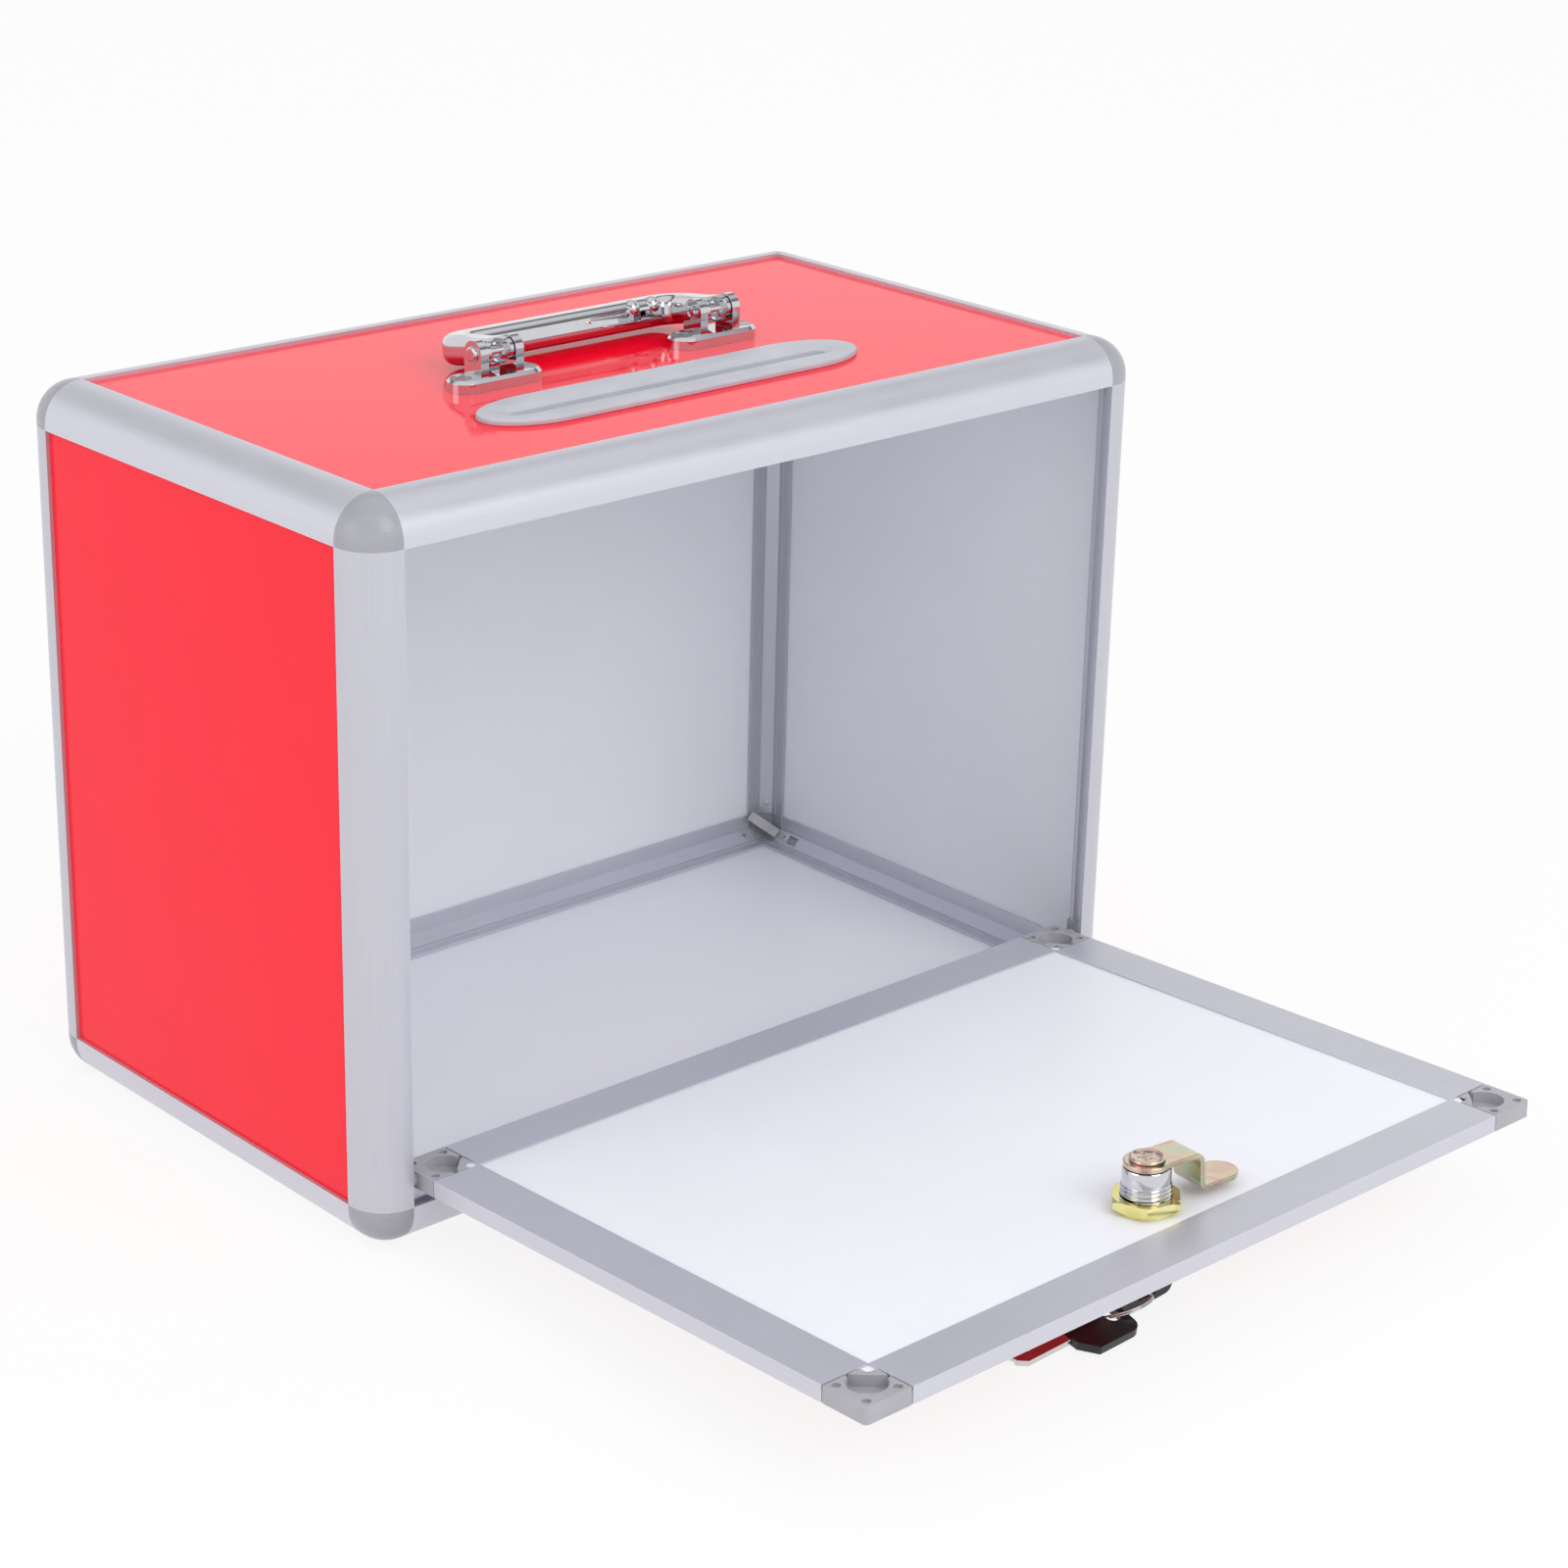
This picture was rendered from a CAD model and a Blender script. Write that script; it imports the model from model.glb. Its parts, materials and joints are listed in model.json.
"""Finishes, lock, keys and studio for a desk-top ballot box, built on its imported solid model."""

import json
import math

import bmesh
import bpy
from mathutils import Matrix, Vector


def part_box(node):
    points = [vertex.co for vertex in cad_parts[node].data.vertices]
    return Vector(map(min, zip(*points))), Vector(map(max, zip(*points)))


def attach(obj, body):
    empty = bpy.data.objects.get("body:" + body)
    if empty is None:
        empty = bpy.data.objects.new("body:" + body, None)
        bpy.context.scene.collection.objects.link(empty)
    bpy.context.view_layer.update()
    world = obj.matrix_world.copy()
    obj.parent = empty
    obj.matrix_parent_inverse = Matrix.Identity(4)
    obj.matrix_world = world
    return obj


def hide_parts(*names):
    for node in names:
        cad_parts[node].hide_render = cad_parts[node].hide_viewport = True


bl_info = {
    "name": "Ballot Box Finishes",
    "version": (1, 0, 0),
    "blender": (4, 5, 0),
    "location": "View3D > Sidebar > Ballot Box",
    "description": "Dresses the ballot box's solid model and sets its studio",
    "category": "Object",
}

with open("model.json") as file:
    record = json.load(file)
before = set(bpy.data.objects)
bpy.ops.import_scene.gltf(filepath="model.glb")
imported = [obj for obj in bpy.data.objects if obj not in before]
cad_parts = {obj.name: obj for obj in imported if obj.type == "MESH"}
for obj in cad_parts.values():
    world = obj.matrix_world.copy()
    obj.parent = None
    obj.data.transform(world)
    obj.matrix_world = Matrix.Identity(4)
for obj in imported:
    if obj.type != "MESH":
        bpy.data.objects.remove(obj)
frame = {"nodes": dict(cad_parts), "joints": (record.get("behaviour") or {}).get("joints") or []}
NODES = frame["nodes"]
JOINTS = {joint["name"]: joint for joint in frame["joints"]}
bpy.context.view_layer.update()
MM = 0.001
CAMERA_PLACE = (-0.793642, -0.849622, 0.579190)
CAMERA_DEGREES = {"azimuth": -42.8508, "elevation": 21.1786, "roll": 1.4468}
CAMERA_SENSOR = 36.0
LAMP_AIM = Vector((0, 0.05, 0.1))
FLOOR_HALF = 8.0
FLOOR_DROP = 0.2 * MM
FLOOR_TONE = (0.93, 0.93, 0.94, 1)
PLATING_GRAIN = {"Grain": 900.0, "Sink": 120.0}
MOULD_GRAIN, MOULD_HEIGHT = 1800.0, 0.06 * MM

# Places along the height of the sky, from the horizon (0) to overhead (1), and their greys.
SOFT_SKY = ((0.0, 0.72), (0.45, 1.0))
MIRRORED_SKY = ((0.46, 1.0), (0.56, 0.22), (0.66, 0.22), (0.8, 0.92))

RAILS_BY_AXIS = {
    "X": ["rail_bottom_front", "rail_bottom_rear", "rail_top_front", "rail_top_rear"],
    "Y": ["rail_bottom_left", "rail_bottom_right", "rail_top_left", "rail_top_right"],
    "Z": ["post_front_left", "post_front_right", "post_rear_left", "post_rear_right"],
}
CASE_PANELS = {
    "panel_left": (-1, 0, 0),
    "panel_right": (1, 0, 0),
    "panel_rear": (0, 1, 0),
    "panel_bottom": (0, 0, -1),
    "panel_top": (0, 0, 1),
}


def colour(name, words, value):
    return bpy.props.FloatVectorProperty(
        name=name, description=words, subtype="COLOR", size=3, min=0, max=1, default=value
    )


def length(name, words, value):
    return bpy.props.FloatProperty(
        name=name, description=words, subtype="DISTANCE", unit="LENGTH", min=0, default=value
    )


def share(name, words, value):
    return bpy.props.FloatProperty(
        name=name, description=words, subtype="FACTOR", min=0, max=1, default=value
    )


class BoxFinishes(bpy.types.PropertyGroup):
    """Colours and roughness of the box's own materials."""

    panel_red: colour("Panel red", "Outside of every panel", (0.98, 0.004, 0.026))
    panel_inside: colour("Panel inside", "Pale inner face of every panel", (0.9, 0.9, 0.96))
    aluminium: colour("Aluminium", "Edge rails and door rails", (0.64, 0.64, 0.71))
    aluminium_rough: share("Aluminium roughness", "Satin anodised finish", 0.38)
    post_aluminium: colour("Post aluminium", "Upright rails, which reflect less light",
                           (0.57, 0.57, 0.63))
    cap_grey: colour("Corner grey", "Moulded corners of the case", (0.36, 0.36, 0.4))
    door_corner_grey: colour("Door corner grey", "Moulded corners of the door", (0.41, 0.41, 0.44))
    slot_grey: colour("Slot plate grey", "Moulded slot plate", (0.52, 0.53, 0.59))
    chrome: colour("Chrome", "Handle, brackets and lock barrel", (0.64, 0.64, 0.67))
    nut_gold: colour("Nut gold", "Yellow zinc on the nut", (0.87, 0.78, 0.33))
    nut_green: colour("Nut green", "Greener drift of the nut's zinc", (0.74, 0.79, 0.42))
    cam_gold: colour("Cam gold", "Yellow zinc on the cam", (0.7, 0.58, 0.4))
    cam_pink: colour("Cam pink", "Pinker drift of the cam's zinc", (0.66, 0.43, 0.41))
    cam_cyan: colour("Cam cyan", "Cooler drift of the cam's zinc", (0.58, 0.62, 0.48))
    disc_beige: colour("Disc beige", "Film on the retaining disc", (0.72, 0.57, 0.47))
    strap_grey: colour("Strap grey", "Brace inside each corner", (0.26, 0.26, 0.28))
    key_black: colour("Key head black", "Plastic heads of the keys", (0.012, 0.011, 0.012))
    nickel: colour("Nickel", "Key blades and split ring", (0.66, 0.64, 0.63))


class SmallParts(bpy.types.PropertyGroup):
    """Sizes of the small turned, bent and moulded parts."""

    thread_pitch: length("Thread pitch", "One ridge of the barrel's thread", 1.5 * MM)
    thread_height: length("Thread height", "How far a ridge stands out", 0.5 * MM)
    thread_length: length("Thread length", "Threaded stretch above the nut", 4.8 * MM)
    nut_round: length("Nut edge", "Soft edge of the nut", 0.22 * MM)
    cam_round: length("Cam edge", "Soft edge of the pressed cam", 0.4 * MM)
    disc_dish: length("Disc dish", "How deep the retaining disc is sunk", 0.45 * MM)
    key_round: length("Key head edge", "Soft edge of a key's plastic head", 0.75 * MM)
    blade_groove: length("Blade groove", "Depth of the groove along a blade", 0.45 * MM)
    wire_radius: length("Ring wire", "Radius of the split ring's wire", 0.36 * MM)
    coil_gap: length("Coil gap", "Between the two coils of the split ring", 0.76 * MM)
    moulding_round: length("Moulded edge", "Soft edge of moulded pieces", 0.35 * MM)
    plate_round: length("Plated edge", "Soft edge of the chrome brackets", 0.45 * MM)
    strap_width: length("Strap width", "Brace inside each corner of the case", 4.0 * MM)
    strap_thickness: length("Strap thickness", "Brace inside each corner", 0.8 * MM)


class StudioSettings(bpy.types.PropertyGroup):
    """The camera, the lamps and the floor."""

    lens: bpy.props.FloatProperty(name="Lens", description="Focal length", default=83.0102)
    key_power: bpy.props.FloatProperty(name="Key lamp", description="Power in watts", default=15)
    fill_power: bpy.props.FloatProperty(name="Fill lamp", description="Power in watts", default=6)
    sky_level: share("Sky level", "Brightness of the light from all round", 0.86)
    floor_white: share("Floor white", "How much of the floor is plain white", 0.86)


def node(tree, kind, sockets=None, **settings):
    """Adds a shader node, sets its options and fills or links its inputs."""
    made = tree.nodes.new(kind)
    for key, value in settings.items():
        setattr(made, key, value)
    for key, value in (sockets or {}).items():
        if isinstance(value, bpy.types.NodeSocket):
            tree.links.new(value, made.inputs[key])
        else:
            made.inputs[key].default_value = value
    return made


def effect(name, inputs, outputs):
    """Starts a node group, or returns None for the tree if it is there already."""
    if name in bpy.data.node_groups:
        return bpy.data.node_groups[name], None, None, None
    group = bpy.data.node_groups.new(name, "ShaderNodeTree")
    for socket, kind, value in inputs:
        made = group.interface.new_socket(name=socket, in_out="INPUT", socket_type=kind)
        made.default_value = value
    for socket, kind in outputs:
        group.interface.new_socket(name=socket, in_out="OUTPUT", socket_type=kind)
    inside = group.nodes.new("NodeGroupInput")
    outside = group.nodes.new("NodeGroupOutput")
    return group, group, inside.outputs, outside.inputs


def drawn_grain():
    """Fine lines along a drawn or extruded length, with slow changes of shade."""
    group, tree, given, result = effect(
        "drawn_grain",
        [("Stretch", "NodeSocketVector", (40, 1500, 1500)), ("Slow", "NodeSocketFloat", 14.0)],
        [("Line", "NodeSocketFloat"), ("Shade", "NodeSocketFloat")],
    )
    if tree:
        place = node(tree, "ShaderNodeTexCoord").outputs["Object"]
        scaled = node(tree, "ShaderNodeVectorMath", {0: place, 1: given["Stretch"]},
                      operation="MULTIPLY")
        line = node(tree, "ShaderNodeTexNoise",
                    {"Vector": scaled.outputs[0], "Scale": 1.0, "Detail": 2.0})
        slow = node(tree, "ShaderNodeTexNoise",
                    {"Vector": place, "Scale": given["Slow"], "Detail": 2.0})
        tree.links.new(line.outputs["Fac"], result["Line"])
        tree.links.new(slow.outputs["Fac"], result["Shade"])
    return group


def handling_marks():
    """Faint wipes and finger marks, as a value about a half."""
    group, tree, given, result = effect(
        "handling_marks",
        [("Size", "NodeSocketFloat", 45.0), ("Contrast", "NodeSocketFloat", 0.6)],
        [("Mark", "NodeSocketFloat")],
    )
    if tree:
        place = node(tree, "ShaderNodeTexCoord").outputs["Object"]
        blot = node(tree, "ShaderNodeTexNoise",
                    {"Vector": place, "Scale": given["Size"], "Detail": 5.0,
                     "Roughness": given["Contrast"], "Distortion": 0.6})
        tree.links.new(blot.outputs["Fac"], result["Mark"])
    return group


def edge_catch():
    """A mask along the convex edges, where wear and light show first."""
    group, tree, given, result = effect(
        "edge_catch",
        [("Radius", "NodeSocketFloat", 0.0006), ("Gain", "NodeSocketFloat", 5.0)],
        [("Edge", "NodeSocketFloat")],
    )
    if tree:
        soft = node(tree, "ShaderNodeBevel", {"Radius": given["Radius"]}, samples=4)
        true = node(tree, "ShaderNodeNewGeometry")
        same = node(tree, "ShaderNodeVectorMath",
                    {0: soft.outputs[0], 1: true.outputs["Normal"]}, operation="DOT_PRODUCT")
        turned = node(tree, "ShaderNodeMath", {0: 1.0, 1: same.outputs["Value"]},
                      operation="SUBTRACT")
        gained = node(tree, "ShaderNodeMath", {0: turned.outputs[0], 1: given["Gain"]},
                      operation="MULTIPLY", use_clamp=True)
        tree.links.new(gained.outputs[0], result["Edge"])
    return group


def mould_skin():
    """The fine skin of an injection-moulded face, as a height."""
    group, tree, given, result = effect(
        "mould_skin",
        [("Grain", "NodeSocketFloat", 1800.0), ("Sink", "NodeSocketFloat", 60.0)],
        [("Height", "NodeSocketFloat"), ("Tone", "NodeSocketFloat")],
    )
    if tree:
        place = node(tree, "ShaderNodeTexCoord").outputs["Object"]
        fine = node(tree, "ShaderNodeTexNoise",
                    {"Vector": place, "Scale": given["Grain"], "Detail": 2.0})
        slow = node(tree, "ShaderNodeTexNoise",
                    {"Vector": place, "Scale": given["Sink"], "Detail": 2.0})
        both = node(tree, "ShaderNodeMath",
                    {0: fine.outputs["Fac"], 1: 0.3, 2: slow.outputs["Fac"]},
                    operation="MULTIPLY_ADD")
        tree.links.new(both.outputs[0], result["Height"])
        tree.links.new(slow.outputs["Fac"], result["Tone"])
    return group


def panel_face():
    """One on a panel's outer face and zero on its inner one."""
    group, tree, given, result = effect(
        "panel_face",
        [("Outward", "NodeSocketVector", (0, 0, 1)), ("Middle", "NodeSocketFloat", 0.0)],
        [("Outside", "NodeSocketFloat")],
    )
    if tree:
        place = node(tree, "ShaderNodeTexCoord").outputs["Object"]
        along = node(tree, "ShaderNodeVectorMath", {0: place, 1: given["Outward"]},
                     operation="DOT_PRODUCT")
        past = node(tree, "ShaderNodeMath", {0: along.outputs["Value"], 1: given["Middle"]},
                    operation="GREATER_THAN")
        tree.links.new(past.outputs[0], result["Outside"])
    return group


class Finish:
    """A material with its Principled shader and short ways to feed it."""

    def __init__(self, name, **plain):
        self.material = bpy.data.materials.new(name)
        self.material.use_nodes = True
        self.tree = self.material.node_tree
        self.shader = self.tree.nodes["Principled BSDF"]
        for socket, value in plain.items():
            self.shader.inputs[socket.replace("_", " ")].default_value = value

    def add(self, kind, sockets=None, **settings):
        return node(self.tree, kind, sockets, **settings)

    def use(self, group, **values):
        return self.add("ShaderNodeGroup", values, node_tree=group).outputs

    def blend(self, factor, low, high):
        made = self.add("ShaderNodeMix", data_type="RGBA")
        for key, value in ((0, factor), (6, low), (7, high)):
            if isinstance(value, bpy.types.NodeSocket):
                self.tree.links.new(value, made.inputs[key])
            else:
                made.inputs[key].default_value = value if key == 0 else (*value, 1)
        return made.outputs[2]

    def span(self, value, low, high, start=0.3, stop=0.7):
        made = self.add("ShaderNodeMapRange", {"Value": value, "From Min": start,
                                               "From Max": stop, "To Min": low, "To Max": high})
        return made.outputs[0]

    def feed(self, socket, value):
        self.tree.links.new(value, self.shader.inputs[socket])

    def bump(self, height, distance, strength=1.0):
        made = self.add("ShaderNodeBump", {"Height": height, "Distance": distance,
                                           "Strength": strength})
        self.feed("Normal", made.outputs[0])


def shade(tone, by):
    """A lighter or darker tone of a colour."""
    return tuple(min(1.0, max(0.0, channel * by)) for channel in tone)


def grain_along(axis):
    """How much the drawn grain is squeezed along each axis: little along its own."""
    return tuple(25.0 if axis == own else 1400.0 for own in "XYZ")


def satin_aluminium(name, tone, rough, stretch):
    finish = Finish(name, Metallic=0.6, IOR=1.45)
    grain = finish.use(drawn_grain(), Stretch=stretch)
    marks = finish.use(handling_marks(), Size=30.0)
    edge = finish.use(edge_catch(), Radius=0.00035, Gain=2.0)
    base = finish.blend(finish.span(grain["Line"], 0, 1), shade(tone, 0.985), shade(tone, 1.015))
    finish.feed("Base Color", finish.blend(edge["Edge"], base, shade(tone, 1.4)))
    finish.feed("Roughness", finish.span(marks["Mark"], rough - 0.04, rough + 0.05))
    finish.bump(grain["Line"], 0.000006, 0.3)
    return finish.material


def panel_laminate(name, settings, outward, middle):
    finish = Finish(name, IOR=1.34)
    side = finish.use(panel_face(), Outward=outward, Middle=middle)["Outside"]
    marks = finish.use(handling_marks(), Size=24.0)
    red = finish.blend(finish.span(marks["Mark"], 0, 1), shade(settings.panel_red, 0.97),
                       settings.panel_red)
    pale = finish.blend(finish.span(marks["Mark"], 0, 1), shade(settings.panel_inside, 0.98),
                        settings.panel_inside)
    finish.feed("Base Color", finish.blend(side, pale, red))
    gloss = finish.span(marks["Mark"], 0.05, 0.09)
    satin = finish.span(marks["Mark"], 0.34, 0.42)
    rough = finish.add("ShaderNodeMix", {0: side, 2: satin, 3: gloss})
    finish.feed("Roughness", rough.outputs[0])
    skin = finish.use(mould_skin(), Grain=260.0, Sink=30.0)
    finish.bump(skin["Height"], 0.00002, 0.3)
    return finish.material


def moulded_plastic(name, tone, rough):
    finish = Finish(name, IOR=1.48)
    skin = finish.use(mould_skin(), Grain=MOULD_GRAIN)
    marks = finish.use(handling_marks(), Size=70.0)
    edge = finish.use(edge_catch(), Radius=0.0004, Gain=2.0)
    base = finish.blend(finish.span(skin["Tone"], 0, 1), shade(tone, 0.94), shade(tone, 1.05))
    finish.feed("Base Color", finish.blend(edge["Edge"], base, shade(tone, 1.35)))
    finish.feed("Roughness", finish.span(marks["Mark"], rough - 0.05, rough + 0.08))
    finish.bump(skin["Height"], MOULD_HEIGHT, 0.4)
    return finish.material


def plated_metal(name, tone, rough):
    """Chrome, nickel or bare steel, slightly duller where it is handled."""
    finish = Finish(name, Metallic=1.0)
    marks = finish.use(handling_marks(), Size=90.0, Contrast=0.7)
    base = finish.blend(finish.span(marks["Mark"], 0, 1, 0.35, 0.62), shade(tone, 0.95), tone)
    finish.feed("Base Color", base)
    finish.feed("Roughness", finish.span(marks["Mark"], rough, rough * 1.9))
    skin = finish.use(mould_skin(), **PLATING_GRAIN)
    finish.bump(skin["Height"], 0.00002, 0.25)
    return finish.material


def zinc_film(name, gold, drift_tone, third):
    """Yellow zinc: a thin film whose colour drifts softly from one tone to the others."""
    finish = Finish(name, Metallic=1.0)
    drift = finish.use(handling_marks(), Size=95.0, Contrast=0.3)["Mark"]
    ramp = finish.add("ShaderNodeValToRGB", {0: drift})
    marks = ramp.color_ramp.elements
    marks[0].position, marks[0].color = 0.36, (*drift_tone, 1)
    marks[1].position, marks[1].color = 0.66, (*third, 1)
    middle = marks.new(0.5)
    middle.color = (*gold, 1)
    edge = finish.use(edge_catch(), Radius=0.0005, Gain=2.5)["Edge"]
    finish.feed("Base Color", finish.blend(edge, ramp.outputs[0], shade(gold, 1.15)))
    finish.feed("Roughness", finish.span(drift, 0.12, 0.2))
    skin = finish.use(mould_skin(), Grain=500.0, Sink=150.0)
    finish.bump(skin["Height"], 0.00003, 0.25)
    return finish.material


def middle_of(node_name):
    low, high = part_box(node_name)
    return (low + high) / 2


def dress(names, material):
    """Gives CAD nodes a material on their own slots."""
    for name in names:
        for slot in NODES[name].material_slots:
            slot.material = material


def place_piece(piece, body, material, *stands_for, slot=None):
    piece.data.materials.clear()
    piece.data.materials.append(material)
    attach(piece, body)
    if stands_for:
        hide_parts(*stands_for)


def new_piece(name, points, faces, smooth=35):
    mesh = bpy.data.meshes.new(name)
    mesh.from_pydata([tuple(p) for p in points], [], faces)
    mesh.validate()
    mesh.shade_smooth()
    mesh.set_sharp_from_angle(angle=math.radians(smooth))
    piece = bpy.data.objects.new(name, mesh)
    bpy.context.scene.collection.objects.link(piece)
    return piece


def tidy_form(node_name):
    """A CAD node's shape with its flat faces made whole again."""
    form = bmesh.new()
    form.from_mesh(NODES[node_name].data)
    bmesh.ops.remove_doubles(form, verts=form.verts, dist=2e-6)
    bmesh.ops.dissolve_limit(form, angle_limit=math.radians(1), verts=form.verts,
                             edges=form.edges)
    return form


def softened(name, node_name, width, steps=2, angle=35):
    """A copy of a node's shape with its hard edges rounded."""
    form = tidy_form(node_name)
    mesh = bpy.data.meshes.new(name)
    form.to_mesh(mesh)
    form.free()
    piece = bpy.data.objects.new(name, mesh)
    bpy.context.scene.collection.objects.link(piece)
    rounder = piece.modifiers.new("rounded edges", "BEVEL")
    rounder.width = width
    rounder.segments = steps
    rounder.limit_method = "ANGLE"
    rounder.angle_limit = math.radians(angle)
    rounder.harden_normals = True
    mesh.shade_smooth()
    mesh.set_sharp_from_angle(angle=math.radians(angle))
    return piece


def skin_rows(rows, closed_rows=False):
    """The faces between rows of points, each row a closed ring of like length."""
    count, size = len(rows), len(rows[0])
    faces = []
    for i in range(count if closed_rows else count - 1):
        near, far = i * size, (i + 1) % count * size
        for j in range(size):
            after = (j + 1) % size
            faces.append((near + j, near + after, far + after, far + j))
    if not closed_rows:
        faces.append(tuple(reversed(range(size))))
        faces.append(tuple(range((count - 1) * size, count * size)))
    return faces


def turned_part(name, profile, axes, steps=96, radius_at=None, smooth=35):
    """A lathe form. profile is a closed outline of radius and height about the z of axes."""
    rows = []
    for i in range(steps):
        angle = 2 * math.pi * i / steps
        row = []
        for radius, height in profile:
            here = radius_at(radius, height, angle) if radius_at else radius
            row.append(axes @ Vector((here * math.cos(angle), here * math.sin(angle), height)))
        rows.append(row)
    points = [point for row in rows for point in row]
    return new_piece(name, points, skin_rows(rows, closed_rows=True), smooth)


def wire(name, path, radius, sides=10):
    """A round wire along a list of points, with flat ends."""
    rows = []
    last = len(path) - 1
    for i, point in enumerate(path):
        along = (path[min(i + 1, last)] - path[max(i - 1, 0)]).normalized()
        across = along.orthogonal().normalized() if i == 0 else across
        across = (across - along * across.dot(along)).normalized()
        above = along.cross(across)
        rows.append([point + (across * math.cos(a) + above * math.sin(a)) * radius
                     for a in (2 * math.pi * k / sides for k in range(sides))])
    return new_piece(name, [p for row in rows for p in row], skin_rows(rows), 50)


def axes_from(place, up, across):
    """A frame with its z along up and its x as near to across as can be."""
    up = Vector(up).normalized()
    across = Vector(across)
    across = (across - up * across.dot(up)).normalized()
    basis = Matrix((across, up.cross(across), up)).transposed().to_4x4()
    return Matrix.Translation(Vector(place)) @ basis


def joined(name, pieces):
    """One object made of several, for like pieces that share a name."""
    form = bmesh.new()
    for piece in pieces:
        form.from_mesh(piece.data)
    mesh = bpy.data.meshes.new(name)
    form.to_mesh(mesh)
    form.free()
    for piece in pieces:
        bpy.data.objects.remove(piece)
    whole = bpy.data.objects.new(name, mesh)
    bpy.context.scene.collection.objects.link(whole)
    return whole


def lock_axes():
    """The lock's own frame: z along the barrel away from the key, x across the door."""
    turn = JOINTS["lock_turn"]
    return axes_from(turn["pos_m"], -Vector(turn["axis"]), (1, 0, 0))


def reach(node_name, axes):
    """The least and greatest radius and height of a node about the z of some axes."""
    inward = axes.inverted()
    places = [inward @ v.co for v in NODES[node_name].data.vertices]
    radii = [place.xy.length for place in places]
    heights = [place.z for place in places]
    return min(radii), max(radii), min(heights), max(heights)


class BALLOT_OT_rails(bpy.types.Operator):
    """Give the edge rails their drawn satin aluminium"""

    bl_idname = "ballot.rails"
    bl_label = "Edge rails"

    def execute(self, context):
        finishes = context.scene.ballot_finishes
        for axis, names in RAILS_BY_AXIS.items():
            tone = finishes.post_aluminium if axis == "Z" else finishes.aluminium
            dress(names, satin_aluminium(f"satin_aluminium_{axis}", tone,
                                         finishes.aluminium_rough, grain_along(axis)))
        dress(["corner_rivets"], plated_metal("plain_rivet", finishes.chrome, 0.22))
        return {"FINISHED"}


class BALLOT_OT_caps(bpy.types.Operator):
    """Give the moulded corners of the case their grey plastic"""

    bl_idname = "ballot.caps"
    bl_label = "Corner caps"

    def execute(self, context):
        finishes = context.scene.ballot_finishes
        grey = moulded_plastic("corner_plastic", finishes.cap_grey, 0.26)
        dress([n for n in NODES if n.startswith("corner_") and n != "corner_rivets"], grey)
        dress([n for n in NODES if n.startswith(("hinge_bush", "door_stop"))], grey)
        steel = plated_metal("strap_steel", finishes.strap_grey, 0.3)
        place_piece(self.straps(context.scene.ballot_parts), "case", steel,
                    slot="corner_rivets")
        return {"FINISHED"}

    def straps(self, parts):
        """The flat brace that crosses the hollow of each corner, on the inside."""
        straps = []
        for level in ("bottom", "top"):
            for depth in ("front", "rear"):
                for side in ("left", "right"):
                    straps.append(self.strap(parts, f"corner_{level}_{depth}_{side}"))
        return joined("corner_straps", straps)

    def strap(self, parts, corner):
        low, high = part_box(corner)
        signs = (-1 if "left" in corner else 1, -1 if "front" in corner else 1,
                 -1 if "bottom" in corner else 1)
        outer = Vector([high[i] if signs[i] > 0 else low[i] for i in range(3)])

        def inside(x, y, z):
            return outer - Vector((signs[0] * x, signs[1] * y, signs[2] * z)) * MM

        outer_end, inner_end = (15.9, 6.6, 15.9), (8.6, 16.2, 8.6)
        start, end = inside(*outer_end), inside(*inner_end)
        along = end - start
        facing = -Vector(signs)
        axes = axes_from(start, facing - along.normalized() * facing.dot(along.normalized()),
                         along)
        run, half, thick = along.length, parts.strap_width / 2, parts.strap_thickness
        rows = []
        for x in (0, 0.15 * MM, run - 0.15 * MM, run):
            soft = 0.15 * MM if x in (0, run) else 0
            rows.append([axes @ Vector((x, y, z)) for y, z in (
                (-half + soft, soft), (half - soft, soft), (half - soft, thick - soft),
                (-half + soft, thick - soft))])
        return new_piece(f"strap_{corner}", [p for row in rows for p in row],
                         skin_rows(rows), 25)


class BALLOT_OT_panels(bpy.types.Operator):
    """Give the panels their red outside and pale inside"""

    bl_idname = "ballot.panels"
    bl_label = "Panels"

    def execute(self, context):
        finishes = context.scene.ballot_finishes
        for name, outward in CASE_PANELS.items():
            low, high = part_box(name)
            middle = (low + high).dot(Vector(outward)) / 2
            dress([name], panel_laminate(f"laminate_{name}", finishes, outward, middle))
        outward = Vector(JOINTS["lock_turn"]["axis"])
        corners = [v.co.dot(outward) for v in NODES["door_panel"].data.vertices]
        middle = (min(corners) + max(corners)) / 2
        dress(["door_panel"], panel_laminate("laminate_door", finishes, tuple(outward), middle))
        return {"FINISHED"}


class BALLOT_OT_door(bpy.types.Operator):
    """Give the door its rails, moulded corners and hinge pins"""

    bl_idname = "ballot.door"
    bl_label = "Door frame"

    def execute(self, context):
        finishes = context.scene.ballot_finishes
        rough = finishes.aluminium_rough + 0.04
        tone = finishes.aluminium
        along_x = satin_aluminium("door_aluminium_X", tone, rough, grain_along("X"))
        along_y = satin_aluminium("door_aluminium_Y", tone, rough, grain_along("Y"))
        dress(["door_rail_top", "door_rail_bottom"], along_x)
        dress(["door_rail_left", "door_rail_right"], along_y)
        grey = moulded_plastic("door_corner_plastic", finishes.door_corner_grey, 0.34)
        for name in [n for n in NODES if n.startswith("door_corner")]:
            block = softened(f"{name}_moulded", name, context.scene.ballot_parts.moulding_round)
            place_piece(block, "door", grey, name)
        dress([n for n in NODES if n.startswith("door_hinge_pin")],
              plated_metal("hinge_pin_steel", shade(finishes.nickel, 0.8), 0.25))
        return {"FINISHED"}


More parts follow.
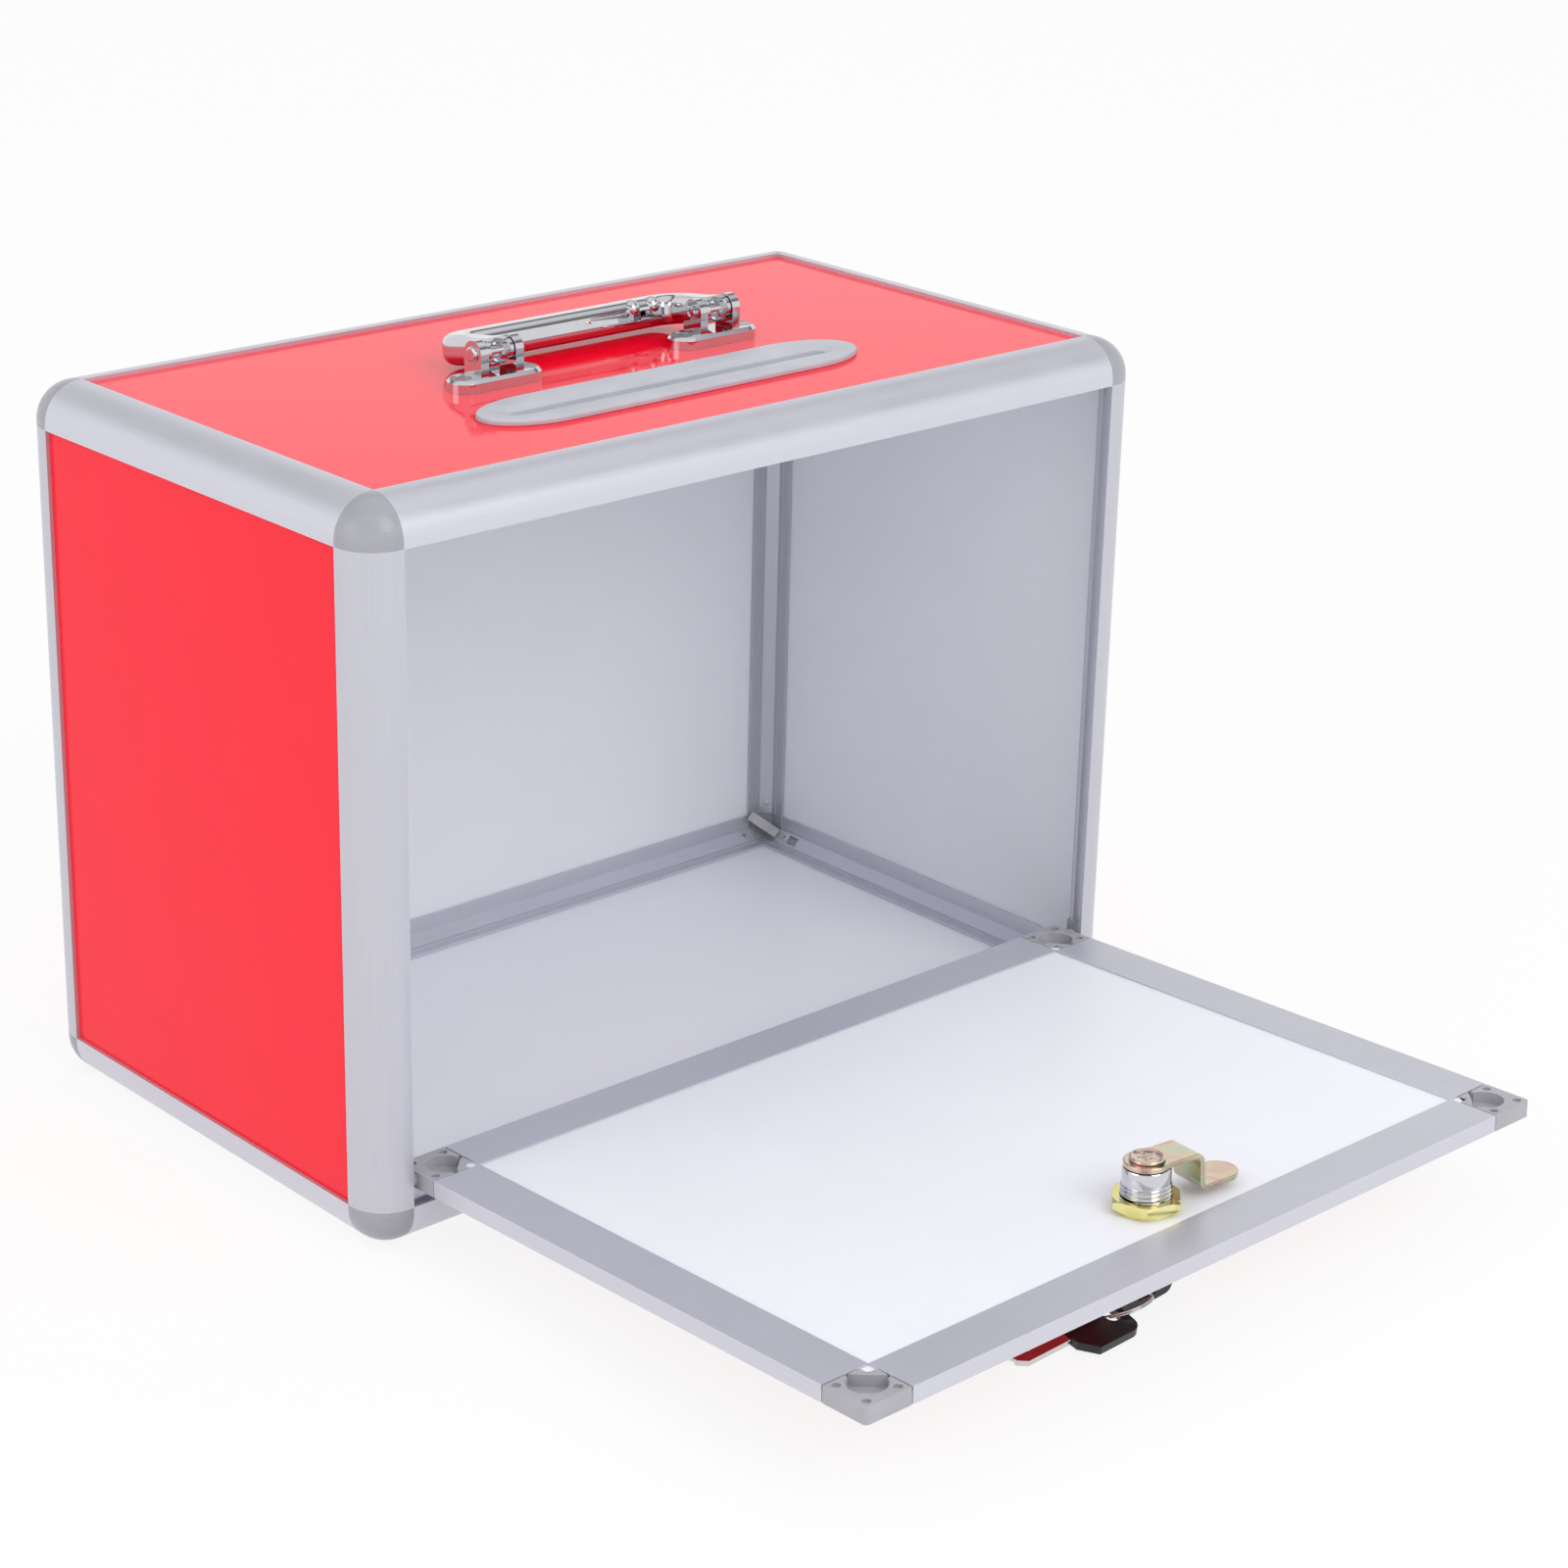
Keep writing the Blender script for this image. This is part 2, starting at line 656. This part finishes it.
class BALLOT_OT_lock(bpy.types.Operator):
    """Build the nut, the barrel's thread, the cam and its retaining disc"""

    bl_idname = "ballot.lock"
    bl_label = "Cam lock"

    def execute(self, context):
        finishes = context.scene.ballot_finishes
        parts = context.scene.ballot_parts
        axes = lock_axes()
        chrome = plated_metal("lock_chrome", finishes.chrome, 0.05)
        nut_zinc = zinc_film("nut_zinc", finishes.nut_gold, shade(finishes.nut_gold, 0.85),
                             finishes.nut_green)
        zinc = zinc_film("cam_zinc", finishes.cam_gold, finishes.cam_pink, finishes.cam_cyan)
        beige = zinc_film("disc_zinc", finishes.disc_beige, finishes.cam_pink,
                          finishes.disc_beige)
        dress(["lock_plug"], chrome)
        place_piece(self.barrel(parts, axes), "door", chrome, "lock_body")
        nut = softened("hexagon_nut", "lock_nut", parts.nut_round, 3, 25)
        place_piece(nut, "door", nut_zinc, "lock_nut")
        cam = softened("pressed_cam", "lock_cam", parts.cam_round, 3)
        place_piece(cam, "lock_cylinder", zinc, "lock_cam")
        place_piece(self.disc(parts, axes), "lock_cylinder", beige, "cam_screw")
        return {"FINISHED"}

    def barrel(self, parts, axes):
        """The flanged barrel: a thread above the nut, two flats, then a smooth neck."""
        bore, flange, low, high = reach("lock_body", axes)
        nut_top = reach("lock_nut", axes)[3]
        full = reach("lock_nut", axes)[0] - 0.05 * MM
        head = reach("lock_plug", axes)[1] + 0.05 * MM
        root = full - parts.thread_height
        ledge, chamfer = 1.25 * MM, 1.15 * MM
        profile = [(bore, low + ledge), (head, low + ledge), (head, low),
                   (flange - chamfer, low), (flange, low + chamfer), (flange, 0),
                   (full, 0), (full, nut_top - parts.thread_pitch)]
        steps = 56
        ridge_end = nut_top + parts.thread_length
        for i in range(steps + 1):
            profile.append((root, nut_top + (ridge_end - nut_top) * i / steps))
        profile += [(root, high - 0.5 * MM), (root - 0.35 * MM, high), (bore, high)]
        flat_at, flat_half = math.radians(-97), math.radians(19)
        flat_reach = full * math.cos(flat_half)

        def radius_at(radius, height, angle):
            if not nut_top <= height <= ridge_end or radius < root - 1e-6:
                return radius
            turn = (height - nut_top) / parts.thread_pitch - angle / (2 * math.pi)
            crest = 0.5 + 0.5 * math.cos(2 * math.pi * turn)
            runout = min(1.0, (ridge_end - height) / (0.8 * parts.thread_pitch))
            ridged = root + parts.thread_height * crest * runout
            return min(ridged, flat_reach / max(0.05, abs(math.cos(angle - flat_at))))

        return turned_part("threaded_barrel", profile, axes, 144, radius_at, 50)

    def disc(self, parts, axes):
        """The retaining disc: a round rim, a dished middle and the peened end of the stud."""
        rim, base, top = (reach("cam_screw", axes)[1], reach("lock_cam", axes)[3],
                          reach("cam_screw", axes)[3])
        floor = top - parts.disc_dish
        stud = 1.7 * MM
        profile = [(0, floor + 0.5 * MM), (0.35 * stud, floor + 0.62 * MM),
                   (0.75 * stud, floor + 0.45 * MM), (stud, floor), (rim * 0.72, floor),
                   (rim * 0.79, floor + 0.12 * MM), (rim * 0.83, top - 0.08 * MM),
                   (rim * 0.88, top), (rim * 0.94, top - 0.03 * MM),
                   (rim * 0.985, top - 0.2 * MM), (rim, top - 0.5 * MM),
                   (rim, base + 0.2 * MM), (rim * 0.97, base), (0, base)]

        def radius_at(radius, height, angle):
            starred = 0 < radius <= stud and height > floor - 1e-6
            return radius * (1 + 0.3 * math.cos(5 * angle)) if starred else radius

        return turned_part("retaining_disc", profile, axes, 80, radius_at, 50)


class BALLOT_OT_keys(bpy.types.Operator):
    """Build the two keys and their split ring"""

    bl_idname = "ballot.keys"
    bl_label = "Keys and ring"

    def execute(self, context):
        finishes = context.scene.ballot_finishes
        parts = context.scene.ballot_parts
        black = moulded_plastic("key_plastic", finishes.key_black, 0.24)
        nickel = plated_metal("key_nickel", finishes.nickel, 0.07)
        for head, blade, body in (("key_head", "key_blade", "key"),
                                  ("spare_key_head", "spare_key_blade", "spare_key")):
            grip = softened(f"{head}_moulded", head, parts.key_round, 4)
            place_piece(grip, body, black, head)
            place_piece(self.milled_blade(parts, head, blade), body, nickel, blade)
        place_piece(self.split_ring(parts), "split_ring", nickel, "key_ring")
        return {"FINISHED"}

    def blade_axes(self, head, blade):
        """A blade's frame: x from its plain back edge to the notches, y to the tip."""
        form = tidy_form(blade)
        back = max(form.edges, key=lambda edge: edge.calc_length())
        wide = max(form.faces, key=lambda face: face.calc_area())
        middle = sum((v.co for v in form.verts), Vector()) / len(form.verts)
        thick = Vector(wide.normal)
        ends = sorted((v.co.copy() for v in back.verts),
                      key=lambda end: (end - middle_of(head)).length)
        form.free()
        along = (ends[1] - ends[0]).normalized()
        across = middle - ends[0]
        across -= along * across.dot(along)
        across -= thick * across.dot(thick)
        across.normalize()
        up = across.cross(along)
        basis = Matrix((across, along, up)).transposed().to_4x4()
        start = ends[0] - up * (ends[0] - middle).dot(up)
        return Matrix.Translation(start) @ basis

    def milled_blade(self, parts, head, blade):
        """A blade drawn as sections from tang to tip, with a groove along each face."""
        axes = self.blade_axes(head, blade)
        inward = axes.inverted()
        corners = [inward @ v.co for v in NODES[blade].data.vertices]
        width = max(corner.x for corner in corners)
        length_y = max(corner.y for corner in corners)
        half_t = max(corner.z for corner in corners)
        outline = sorted({(round(c.y, 6), round(c.x, 6)) for c in corners})
        front = [(y, x) for y, x in outline if x > width / 2 and y > 0]
        rows = []
        stations = sorted({y for y, x in front} | {0.0, length_y})
        for y in stations:
            high = self.edge_at(front, y)
            low = 0.0 if y < length_y - 3.0 * MM else width - self.edge_at(front, y)
            low = min(low, high - 0.5 * MM)
            rows.append(self.blade_section(parts, axes, y, low, high, half_t))
        points = [p for row in rows for p in row]
        return new_piece(f"{blade}_milled", points, skin_rows(rows), 25)

    def edge_at(self, front, y):
        """The notched edge's distance from the back edge, at a place along the blade."""
        before = [point for point in front if point[0] <= y + 1e-7]
        after = [point for point in front if point[0] >= y - 1e-7]
        if not before or not after:
            return (before or after)[0][1]
        near, far = before[-1], after[0]
        if far[0] - near[0] < 1e-7:
            return near[1]
        part = (y - near[0]) / (far[0] - near[0])
        return near[1] + (far[1] - near[1]) * part

    def blade_section(self, parts, axes, y, low, high, half_t):
        """One ring of points across the blade, with its two grooves and soft edges."""
        soft = 0.18 * MM
        deep = half_t - parts.blade_groove
        mid = (low + high) / 2
        groove = min(1.1 * MM, (high - low) / 5)
        ring = [(low + soft, -half_t), (mid - groove, -half_t), (mid - groove * 0.7, -deep),
                (mid + groove * 0.7, -deep), (mid + groove, -half_t), (high - soft, -half_t),
                (high, -half_t + soft), (high, half_t - soft), (high - soft, half_t),
                (mid + groove, half_t), (mid + groove * 0.7, deep), (mid - groove * 0.7, deep),
                (mid - groove, half_t), (low + soft, half_t), (low, half_t - soft),
                (low, -half_t + soft)]
        return [axes @ Vector((x, y, z)) for x, z in ring]

    def split_ring(self, parts):
        """Nearly two turns of wire, one coil on the other, with a crank where they cross."""
        hinge = JOINTS["spare_key_turn"]
        centre, normal = Vector(hinge["pos_m"]), Vector(hinge["axis"]).normalized()
        outer = max((v.co - centre).length for v in NODES["key_ring"].data.vertices)
        radius = outer - parts.wire_radius - parts.coil_gap / 2
        axes = axes_from(centre, normal, (1, 0, 0))
        steps, turns, start = 150, 1.93, math.radians(200)
        path = []
        for i in range(steps + 1):
            turn = turns * i / steps
            angle = start + 2 * math.pi * turn
            climb = min(1.0, max(0.0, (turn - 0.9) / 0.16))
            climb = climb * climb * (3 - 2 * climb)
            height = parts.coil_gap * (climb - 0.5)
            path.append(axes @ Vector((radius * math.cos(angle), radius * math.sin(angle),
                                       height)))
        return wire("split_ring_wire", path, parts.wire_radius)


class BALLOT_OT_handle(bpy.types.Operator):
    """Plate the handle and its brackets, and add the small parts on them"""

    bl_idname = "ballot.handle"
    bl_label = "Carrying handle"

    def execute(self, context):
        finishes = context.scene.ballot_finishes
        parts = context.scene.ballot_parts
        chrome = plated_metal("handle_chrome", finishes.chrome, 0.03)
        dress(["handle_grip", "handle_pins"], chrome)
        for side in ("left", "right"):
            name = f"handle_bracket_{side}"
            cast = softened(f"bracket_casting_{side}", name, parts.plate_round, 3)
            place_piece(cast, "case", chrome, name)
        steel = plated_metal("screw_steel", shade(finishes.nickel, 0.6), 0.22)
        dress(["handle_screws", "handle_nuts"], steel)
        place_piece(self.pin_tails(), "case", chrome, slot="handle_pins")
        place_piece(self.grip_screw(), "handle", chrome, slot="handle_grip")
        return {"FINISHED"}

    def pin_tails(self):
        """The rolled tail of each pin: a rim with a hollow in it, on the inner ears."""
        pivot = Vector(JOINTS["handle_swing"]["pos_m"])
        outer, inner, proud = 2.35 * MM, 1.15 * MM, 0.55 * MM
        profile = [(inner, -1.2 * MM), (inner, 0.3 * proud), (inner * 1.25, proud),
                   (outer * 0.86, proud), (outer, 0.45 * proud), (outer, -1.2 * MM)]
        tails = []
        for side, facing in (("left", 1), ("right", -1)):
            low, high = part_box(f"handle_bracket_{side}")
            middle = (low.x + high.x) / 2
            inner_ear = 9.9 * MM
            place = Vector((middle + facing * inner_ear, pivot.y, pivot.z))
            axes = axes_from(place, (facing, 0, 0), (0, 1, 0))
            tails.append(turned_part(f"tail_{side}", profile, axes, 40))
        return joined("rolled_pin_tails", tails)

    def grip_screw(self):
        """The small round fastener in the front of the grip."""
        pivot = Vector(JOINTS["handle_swing"]["pos_m"])
        right, back, down = 8.0 * MM, 19.25 * MM, 3.6 * MM
        place = Vector((right, pivot.y + back, pivot.z - down))
        front_face = (0, -1, -0.19)
        axes = axes_from(place, front_face, (1, 0, 0))
        outline = ((0, -0.2), (0.7, -0.2), (0.75, 0.2), (1.15, 0.24), (1.35, 0.05),
                   (1.35, -0.6), (0, -0.6))
        profile = [(radius * MM, height * MM) for radius, height in outline]
        return turned_part("grip_fastener", profile, axes, 36)


class BALLOT_OT_slot(bpy.types.Operator):
    """Finish the moulded slot plate and the frame under it"""

    bl_idname = "ballot.slot"
    bl_label = "Ballot slot"

    def execute(self, context):
        finishes = context.scene.ballot_finishes
        parts = context.scene.ballot_parts
        grey = moulded_plastic("slot_plastic", finishes.slot_grey, 0.45)
        dress(["slot_retainer"], grey)
        plate = softened("moulded_slot_plate", "slot_plate", parts.moulding_round, 3, 30)
        place_piece(plate, "case", grey, "slot_plate")
        return {"FINISHED"}


class BALLOT_OT_studio(bpy.types.Operator):
    """Set the camera, the lamps, the sky and the pale floor"""

    bl_idname = "ballot.studio"
    bl_label = "Studio"

    def execute(self, context):
        studio = context.scene.ballot_studio
        self.add_camera(context, studio)
        self.add_lamps(studio)
        self.add_sky(context, studio)
        self.add_floor(studio)
        context.scene.view_settings.view_transform = "Standard"
        return {"FINISHED"}

    def add_camera(self, context, studio):
        azimuth, elevation, roll = (math.radians(a) for a in CAMERA_DEGREES.values())
        back = Vector((math.sin(azimuth) * math.cos(elevation),
                       -math.cos(azimuth) * math.cos(elevation), math.sin(elevation)))
        right = Vector((0, 0, 1)).cross(back).normalized()
        up = back.cross(right)
        across = right * math.cos(roll) + up * math.sin(roll)
        above = up * math.cos(roll) - right * math.sin(roll)
        lens = bpy.data.cameras.new("studio_camera")
        lens.lens = studio.lens
        lens.sensor_width = CAMERA_SENSOR
        lens.clip_start = 0.02
        lens.clip_end = 60.0
        camera = bpy.data.objects.new("studio_camera", lens)
        basis = Matrix((across, above, back)).transposed().to_4x4()
        camera.matrix_world = Matrix.Translation(CAMERA_PLACE) @ basis
        context.scene.collection.objects.link(camera)
        context.scene.camera = camera

    def add_lamps(self, studio):
        for name, place, size, power in (
            ("key_lamp", (0.1, -1.7, 1.5), 1.5, studio.key_power),
            ("fill_lamp", (-1.9, 0.4, 1.0), 1.3, studio.fill_power),
        ):
            lamp = bpy.data.lights.new(name, "AREA")
            lamp.shape = "DISK"
            lamp.size = size
            lamp.energy = power
            stand = bpy.data.objects.new(name, lamp)
            stand.location = place
            aim = Vector(place) - LAMP_AIM
            stand.rotation_euler = aim.to_track_quat("Z", "Y").to_euler()
            bpy.context.scene.collection.objects.link(stand)

    def add_sky(self, context, studio):
        """White round the horizon, darker overhead. Plain light for the matt surfaces."""
        sky = bpy.data.worlds.new("studio_sky")
        context.scene.world = sky
        sky.use_nodes = True
        tree = sky.node_tree
        tree.nodes.clear()
        way = node(tree, "ShaderNodeTexCoord").outputs["Generated"]
        split = node(tree, "ShaderNodeSeparateXYZ", {0: way})
        soft = self.height_tones(tree, split, SOFT_SKY)
        clear = self.height_tones(tree, split, MIRRORED_SKY)
        seen = self.seen_directly(tree)
        gentle = node(tree, "ShaderNodeBackground", {"Color": soft,
                                                     "Strength": studio.sky_level})
        plain = node(tree, "ShaderNodeBackground", {"Color": clear, "Strength": 1.0})
        either = node(tree, "ShaderNodeMixShader", {0: seen, 1: gentle.outputs[0],
                                                    2: plain.outputs[0]})
        out = node(tree, "ShaderNodeOutputWorld")
        tree.links.new(either.outputs[0], out.inputs[0])

    def height_tones(self, tree, split, tones):
        """Grey by how high the sky is: 0 at the horizon and 1 overhead."""
        ramp = node(tree, "ShaderNodeValToRGB", {0: split.outputs["Z"]})
        marks = ramp.color_ramp.elements
        while len(marks) < len(tones):
            marks.new(0.5)
        for mark, (place, grey) in zip(marks, tones):
            mark.position = place
            mark.color = (grey, grey, min(1.0, grey * 1.02), 1)
        return ramp.outputs[0]

    def seen_directly(self, tree):
        """One for what the camera, a mirror or glass sees, and zero for plain light."""
        path = node(tree, "ShaderNodeLightPath")
        mirrored = node(tree, "ShaderNodeMath", {0: path.outputs["Is Camera Ray"],
                                                 1: path.outputs["Is Glossy Ray"]},
                        operation="MAXIMUM")
        seen = node(tree, "ShaderNodeMath", {0: mirrored.outputs[0],
                                             1: path.outputs["Is Transmission Ray"]},
                    operation="MAXIMUM")
        return seen.outputs[0]

    def add_floor(self, studio):
        corners = [(x * FLOOR_HALF, y * FLOOR_HALF, 0)
                   for x, y in ((-1, -1), (1, -1), (1, 1), (-1, 1))]
        floor = new_piece("studio_floor", corners, [(0, 1, 2, 3)])
        floor.location.z = -FLOOR_DROP
        material = bpy.data.materials.new("pale_floor")
        material.use_nodes = True
        tree = material.node_tree
        tree.nodes.clear()
        matt = node(tree, "ShaderNodeBsdfDiffuse", {"Color": FLOOR_TONE})
        white = node(tree, "ShaderNodeEmission", {"Color": (1, 1, 1, 1), "Strength": 1.0})
        share_white = node(tree, "ShaderNodeMath", {0: self.seen_directly(tree),
                                                    1: studio.floor_white},
                           operation="MULTIPLY")
        both = node(tree, "ShaderNodeMixShader", {0: share_white.outputs[0],
                                                  1: matt.outputs[0], 2: white.outputs[0]})
        out = node(tree, "ShaderNodeOutputMaterial")
        tree.links.new(both.outputs[0], out.inputs[0])
        floor.data.materials.append(material)


STEPS = (
    BALLOT_OT_rails,
    BALLOT_OT_caps,
    BALLOT_OT_panels,
    BALLOT_OT_door,
    BALLOT_OT_lock,
    BALLOT_OT_keys,
    BALLOT_OT_handle,
    BALLOT_OT_slot,
    BALLOT_OT_studio,
)


class BALLOT_PT_sidebar(bpy.types.Panel):
    """The ballot box's settings and its building steps"""

    bl_idname = "BALLOT_PT_sidebar"
    bl_label = "Ballot Box"
    bl_space_type = "VIEW_3D"
    bl_region_type = "UI"
    bl_category = "Ballot Box"

    def draw(self, context):
        for settings in (context.scene.ballot_finishes, context.scene.ballot_parts,
                         context.scene.ballot_studio):
            box = self.layout.box()
            for key in settings.__annotations__:
                box.prop(settings, key)
        for step in STEPS:
            self.layout.operator(step.bl_idname)


GROUPS = (
    ("ballot_finishes", BoxFinishes),
    ("ballot_parts", SmallParts),
    ("ballot_studio", StudioSettings),
)


def register():
    for name, group in GROUPS:
        bpy.utils.register_class(group)
        setattr(bpy.types.Scene, name, bpy.props.PointerProperty(type=group))
    for step in (*STEPS, BALLOT_PT_sidebar):
        bpy.utils.register_class(step)


def unregister():
    for step in (BALLOT_PT_sidebar, *reversed(STEPS)):
        bpy.utils.unregister_class(step)
    for name, group in reversed(GROUPS):
        delattr(bpy.types.Scene, name)
        bpy.utils.unregister_class(group)


def main():
    register()
    for step in STEPS:
        family, action = step.bl_idname.split(".")
        getattr(getattr(bpy.ops, family), action)()


if __name__ == "__main__":
    main()
